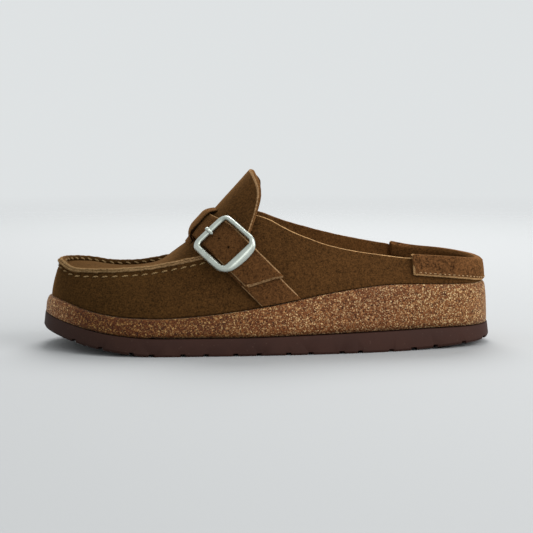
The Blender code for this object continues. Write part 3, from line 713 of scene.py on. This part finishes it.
def punch(strap):
    """Punches the spare holes through the strap."""
    tree = surface_of(strap)
    for hole in HOLES:
        at, facing = tree.find_nearest(Vector(hole) * MM)[:2]
        rest()
        size = {"radius": HOLE_RADIUS * MM, "depth": PIN_LENGTH * MM}
        bpy.ops.mesh.primitive_cylinder_add(vertices=20, location=at, **size)
        pin = bpy.context.object
        pin.rotation_mode = "QUATERNION"
        pin.rotation_quaternion = UP.rotation_difference(facing)
        bpy.context.view_layer.update()
        finish_with(strap, "BOOLEAN", operation="DIFFERENCE", solver="EXACT", object=pin)
        bpy.data.objects.remove(pin, do_unlink=True)


# Raised seam

# Place of the seam, in millimetres: middle of the round toe, back end, and distances outside the shoe
TOE_HUB = Vector((-80, 0, 0))
SEAM_BACK = -36
OUTSIDE, TOE_OUTSIDE = 60, 66

# Steps along the sides, in millimetres, and round the toe, in degrees
SIDE_STEP, TOE_STEP = 1.5, 2.5

# Search for its crest, in millimetres: steps inwards, height of the rays, and fall behind the crest
CREST_STEP, CREST_STEPS = 0.2, 260
RAY_HEIGHT, CREST_FALL = 130, 0.45

# Section of the raised seam, outwards and up from its crest: wall edge, groove, plug edge, inner face
SEAM_SECTION = (
    (1.5, -2.1), (2.3, -2.05), (2.6, -1.75), (2.68, -1.3), (2.55, -0.9), (2.2, -0.66), (1.9, -0.8),
    (1.78, -0.55), (1.7, -0.15), (1.4, 0.15), (0.7, 0.3), (0.0, 0.32), (-0.7, 0.22), (-1.3, -0.02),
    (-1.75, -0.5), (-1.98, -1.2), (-2.05, -2.2), (-1.2, -2.6),
)

# Points of the section in the groove and at the start of the inner face, which reaches over the inner
# half of the crest as painted shade, and step along the seam
SEAM_GROOVE, SEAM_INNER = 6, 11
SEAM_STEP = 1.3


def crest(tree, outer, inwards):
    """The first crest that a row of rays cast down meets on its way in from the outside."""
    best = None
    for step in range(CREST_STEPS):
        at = outer + inwards * (CREST_STEP * step)
        hit = tree.ray_cast(Vector((at.x, at.y, RAY_HEIGHT)) * MM, -UP)[0]
        if hit is None:
            continue
        if best is None or hit.z > best.z:
            best = hit
        elif hit.z < best.z - CREST_FALL * MM:
            return best
    return best


def calmed(line, times):
    """A line with its wiggles smoothed out."""
    for _ in range(times):
        line[1:-1] = (line[:-2] + 2 * line[1:-1] + line[2:]) / 4
    return line


def seam_line():
    """The crest of the seam from the outer side round the toe to the inner side, in metres."""
    tree = surface_of(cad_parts["upper"])
    found = []
    for x in np.arange(SEAM_BACK, TOE_HUB.x, -SIDE_STEP):
        found.append(crest(tree, Vector((x, -OUTSIDE, 0)), Vector((0, 1, 0))))
    for bearing in np.radians(np.arange(90, -91, -TOE_STEP)):
        way = Vector((-math.cos(bearing), -math.sin(bearing), 0))
        found.append(crest(tree, TOE_HUB + way * TOE_OUTSIDE, -way))
    for x in np.arange(TOE_HUB.x, SEAM_BACK, SIDE_STEP):
        found.append(crest(tree, Vector((x, OUTSIDE, 0)), Vector((0, -1, 0))))
    return calmed(np.array([point for point in found if point]), 6)


def even(line, pitch):
    """The same line in equal steps of about a pitch."""
    length = np.append(0, np.cumsum(np.linalg.norm(np.diff(line, axis=0), axis=1)))
    count = max(2, round(length[-1] / pitch))
    steps = np.linspace(0, length[-1], count + 1)
    return np.column_stack([np.interp(steps, length, line[:, k]) for k in range(3)])


def headings(line):
    """For each point of a line: ahead, out from the shoe, and up."""
    ahead = np.gradient(line, axis=0)
    ahead /= np.linalg.norm(ahead, axis=1)[:, None]
    out = np.cross((0, 0, 1), ahead)
    out /= np.linalg.norm(out, axis=1)[:, None]
    up = np.cross(ahead, out)
    return ahead, out, up


def swept(name, rings):
    """A closed skin through rings of points, with both ends filled."""
    rest()
    bpy.ops.mesh.primitive_grid_add(x_subdivisions=len(rings[0]), y_subdivisions=len(rings) - 1, size=1)
    piece = bpy.context.object
    piece.name = piece.data.name = name
    wide = len(rings[0]) + 1
    for k, vertex in enumerate(piece.data.vertices):
        ring, at = divmod(k, wide)
        vertex.co = rings[ring][at % len(rings[0])]
    edit_all(piece)
    bpy.ops.mesh.remove_doubles(threshold=0.001 * MM)
    bpy.ops.mesh.select_all(action="DESELECT")
    bpy.ops.mesh.select_non_manifold()
    bpy.ops.mesh.fill_holes(sides=0)
    bpy.ops.mesh.select_all(action="SELECT")
    bpy.ops.mesh.normals_make_consistent(inside=False)
    rest()
    return piece


def raised_seam(line):
    """The two cut edges that stand side by side along the seam, and sink into the hide at its ends."""
    uneven, end_sink = 0.24, 1.5
    line = even(line, SEAM_STEP * MM)
    _, out, up = headings(line)
    rings = []
    for k, point in enumerate(line):
        fade = min(1.0, 0.35 + min(k, len(line) - 1 - k) / 8)
        pull = 0.1 * math.sin(k * SEAM_STEP * 2 * math.pi / STITCH_PITCH)
        ring = []
        for wide, high in SEAM_SECTION:
            wide += pull if wide > 0 else -pull
            high += uneven * noise.noise(Vector(point) * 300)
            ring.append(Vector(point + out[k] * wide * MM + up[k] * (high - end_sink * (1 - fade)) * MM))
        rings.append(ring)
    piece = swept("seam_edges", rings)
    for face in piece.data.polygons:
        ring, at = divmod(face.index, len(SEAM_SECTION))
        # The crest's inner half takes the plain finish of the inner face, as painted shade.
        plain = ring >= len(rings) - 1 or at == SEAM_GROOVE or at >= SEAM_INNER
        face.material_index = FACE if plain else CUT
    subdivide(piece, 1)
    roughen_cut(piece, depth=0.28)
    smooth(piece)
    dress(piece, "brown_suede", SUEDE, SEAM_EDGE)


# Rows of stitches, in millimetres; slant is how far each drops for its length
STITCH_PITCH = 5.7
Stitching = namedtuple("Stitching", "name pitch length width proud slant")
WALL_ROW = Stitching("wall_stitches", STITCH_PITCH, 3.9, 1.0, 0.06, 0.2)
PLUG_ROW = Stitching("plug_stitches", 4.9, 3.4, 1.1, 0.15, 0.4)
HEEL_ROW = Stitching("heel_stitches", 3.1, 1.9, 0.75, 0.12, 0.0)

# Places of the rows, in millimetres: below the seam's crest, in from it, and above the heel strip's edge
WALL_DROP = 4.2
PLUG_IN, PLUG_DROP = 2.05, 1.55
HEEL_RISE = 1.7

# Rays towards the wall, in millimetres: start outside the seam, and length
WALL_START, WALL_RAY = 14, 30

# Rays towards the heel strip's lower edge, in millimetres and degrees
HEEL_HUB = Vector((78, -1, 0))
HEEL_SWEEP, HEEL_START, HEEL_RAY = 104, 80, 70
HEEL_LOW, HEEL_HIGH = 36, 56


def one_stitch(row):
    """A thread that comes up, lies along the leather and goes down again."""
    flatness, sag = 0.8, 0.45
    rest()
    bpy.ops.mesh.primitive_uv_sphere_add(segments=8, ring_count=7, radius=0.5 * MM)
    thread = bpy.context.object
    edit_all(thread)
    bpy.ops.transform.rotate(value=math.pi / 2, orient_axis="Y", center_override=(0, 0, 0))
    bpy.ops.transform.resize(value=(row.length, row.width, row.width * flatness))
    rest()
    for vertex in thread.data.vertices:
        share = vertex.co.x / (row.length / 2 * MM)
        vertex.co.z -= sag * row.width * MM * share * share
    smooth(thread)
    return thread


def sew(row, places, finish):
    """Copies a stitch to each place, given as a point, a way along and a way out, and joins them."""
    pattern = one_stitch(row)
    copies = []
    for point, ahead, out in places:
        ahead = (ahead - out * ahead.dot(out)).normalized()
        turn = Matrix((ahead, out.cross(ahead), out)).transposed().to_4x4()
        copy = bpy.data.objects.new(row.name, pattern.data.copy())
        copy.data.transform(Matrix.Translation(point) @ turn)
        bpy.context.scene.collection.objects.link(copy)
        copies.append(copy)
    bpy.data.objects.remove(pattern, do_unlink=True)
    rest()
    for copy in copies:
        copy.select_set(True)
    bpy.context.view_layer.objects.active = copies[0]
    bpy.ops.object.join()
    piece = bpy.context.object
    piece.name = piece.data.name = row.name
    dress(piece, "brown_suede", finish)


def dimple(piece, points, width, depth):
    """Sinks the surface round each point."""
    near = KDTree(len(points))
    for k, point in enumerate(points):
        near.insert(point, k)
    near.balance()
    surface, normals = points_and_normals(piece)
    apart = np.array([near.find(point)[2] for point in surface]) / (width * MM)
    move_points(piece, surface - normals * (depth * MM * np.exp(-apart * apart))[:, None])


def wall_stitches(line, upper):
    """A row on the wall under the seam, where the thread dimples the hide."""
    dimple(upper, [Vector(point) for point in even(line, 1.5 * MM)], width=3.0, depth=0.5)
    tree = surface_of(upper)
    places, holes, furrow = [], [], []
    steps = even(line, WALL_ROW.pitch * MM)
    ahead, out, up = headings(steps)
    for k in range(1, len(steps) - 1):
        start = Vector(steps[k] + out[k] * WALL_START * MM - np.array((0, 0, WALL_DROP * MM)))
        hit, facing = tree.ray_cast(start, -Vector(out[k]), WALL_RAY * MM)[:2]
        if hit:
            along = Vector(ahead[k] - WALL_ROW.slant * up[k])
            places.append((hit + facing * WALL_ROW.proud * MM, along, facing))
            holes += [hit + along * (share * WALL_ROW.length / 2 * MM) for share in (-1.05, 1.05)]
            furrow += [hit + along * (share * WALL_ROW.pitch * MM) for share in np.linspace(-0.5, 0.5, 7)]
    dimple(upper, furrow, width=1.3, depth=0.3)
    dimple(upper, holes, width=0.9, depth=0.35)
    sew(WALL_ROW, places, SEAM_THREAD)


def plug_stitches(line):
    """A row on the inner face of the seam."""
    places = []
    steps = even(line, PLUG_ROW.pitch * MM)
    ahead, out, up = headings(steps)
    for k in range(1, len(steps) - 1):
        point = steps[k] - out[k] * PLUG_IN * MM - up[k] * PLUG_DROP * MM
        along = Vector(ahead[k] - PLUG_ROW.slant * up[k])
        places.append((Vector(point - out[k] * PLUG_ROW.proud * MM), along, Vector(-out[k])))
    sew(PLUG_ROW, places, SEAM_THREAD)


def heel_stitches(strip):
    """Small stitches along the lower edge of the heel strip."""
    tree = surface_of(strip)
    line = []
    for bearing in np.radians(np.arange(-HEEL_SWEEP, HEEL_SWEEP + 1, 2)):
        way = Vector((math.cos(bearing), math.sin(bearing), 0))
        for z in np.arange(HEEL_LOW, HEEL_HIGH, 0.25):
            start = (HEEL_HUB + way * HEEL_START + UP * z) * MM
            if tree.ray_cast(start, -way, HEEL_RAY * MM)[0]:
                line.append(tree.ray_cast(start + UP * HEEL_RISE * MM, -way, HEEL_RAY * MM)[0])
                break
    line = calmed(np.array([point for point in line if point]), 4)
    steps = even(line, HEEL_ROW.pitch * MM)
    ahead = np.gradient(steps, axis=0)
    places = []
    for point, way in zip(steps[1:-1], ahead[1:-1]):
        at, facing = tree.find_nearest(Vector(point))[:2]
        places.append((at + facing * HEEL_ROW.proud * MM, Vector(way).normalized(), facing))
    sew(HEEL_ROW, places, HEEL_THREAD)


# The shoe

UPPER = cut_hide(UPPER_HIDE)
BANDS = {hide.node: cut_hide(hide) for hide in OVERLAYS}
sew_down(BANDS["strap_keeper"], reach=7.0, depth=1.75, padding=1.6)
footbed()
rubber_sole()
buckle()
punch(BANDS["instep_strap"])
SEAM_LINE = seam_line()
raised_seam(SEAM_LINE)
wall_stitches(SEAM_LINE, UPPER)
plug_stitches(SEAM_LINE)
heel_stitches(BANDS["heel_strip"])


# Floor, light and camera

def floor_finish():
    """Pale near the shoe, and fading into the surroundings far away."""
    made, tree, shader, place = new_material(
        "pale floor", Base_Color=(0.438, 0.444, 0.447, 1), Roughness=0.8, Specular_IOR_Level=0.1
    )
    apart = put(tree, "VectorMath", {"operation": "LENGTH"}, _0=place).outputs["Value"]
    smoothly = {"interpolation_type": "SMOOTHSTEP"}
    faded = put(tree, "MapRange", smoothly, Value=apart, From_Min=0.45, From_Max=1.7)
    clear = put(tree, "BsdfTransparent")
    mixed = put(tree, "MixShader", (), _0=faded.outputs[0], _1=shader.outputs[0], _2=clear.outputs[0])
    tree.links.new(mixed.outputs[0], tree.nodes["Material Output"].inputs["Surface"])
    return made


def floor():
    """A wide round floor."""
    rest()
    bpy.ops.mesh.primitive_circle_add(vertices=96, radius=30, fill_type="NGON")
    made = bpy.context.object
    made.name = "floor"
    made.data.materials.append(floor_finish())


# Point that every lamp faces, in metres
LIT_POINT = Vector((0, 0, 0.04))


def lamp(name, power, size, at, lights_matt=True):
    """A round lamp; one that doesn't light matt surfaces shows only in gloss."""
    light = bpy.data.lights.new(name, "AREA")
    light.energy = power
    light.shape = "DISK"
    light.size = size
    made = bpy.data.objects.new(name, light)
    made.location = at
    made.rotation_mode = "QUATERNION"
    made.rotation_quaternion = (Vector(at) - LIT_POINT).to_track_quat("Z", "Y")
    made.visible_diffuse = lights_matt
    bpy.context.scene.collection.objects.link(made)


def surroundings(brightness):
    """Even pale light from all sides."""
    world = bpy.data.worlds.new("studio")
    world.use_nodes = True
    back = world.node_tree.nodes["Background"]
    back.inputs["Color"].default_value = (0.957, 0.99, 1.0, 1)
    back.inputs["Strength"].default_value = brightness
    bpy.context.scene.world = world


# View of the photograph, in degrees and millimetres
AZIMUTH, ELEVATION, DISTANCE = -6.0, 6.0, 900.0
AIM = Vector((0.05, 0.73, 45.0))
LENS, SHIFT = 100.6, (-0.0042, 0.0040)


def camera():
    """A camera that sees the shoe as the photograph does."""
    turn, tilt = math.radians(AZIMUTH), math.radians(ELEVATION)
    back = Vector((math.sin(turn) * math.cos(tilt), -math.cos(turn) * math.cos(tilt), math.sin(tilt)))
    lens = bpy.data.cameras.new("camera")
    lens.lens = LENS
    lens.sensor_width = 36
    lens.shift_x, lens.shift_y = SHIFT
    made = bpy.data.objects.new("camera", lens)
    made.location = (AIM + back * DISTANCE) * MM
    made.rotation_mode = "QUATERNION"
    made.rotation_quaternion = back.to_track_quat("Z", "Y")
    bpy.context.scene.collection.objects.link(made)
    bpy.context.scene.camera = made


floor()
surroundings(brightness=0.77)
lamp("key", 14.5, 1.2, (1.05, -0.7, 0.75))
lamp("top", 17.3, 1.0, (0.2, 1.0, 1.1))
lamp("front", 1.6, 0.25, (0.02, -1.35, 0.17), lights_matt=False)
camera()
bpy.context.scene.view_settings.view_transform = "Standard"
bpy.context.scene.view_settings.look = "None"

rest()
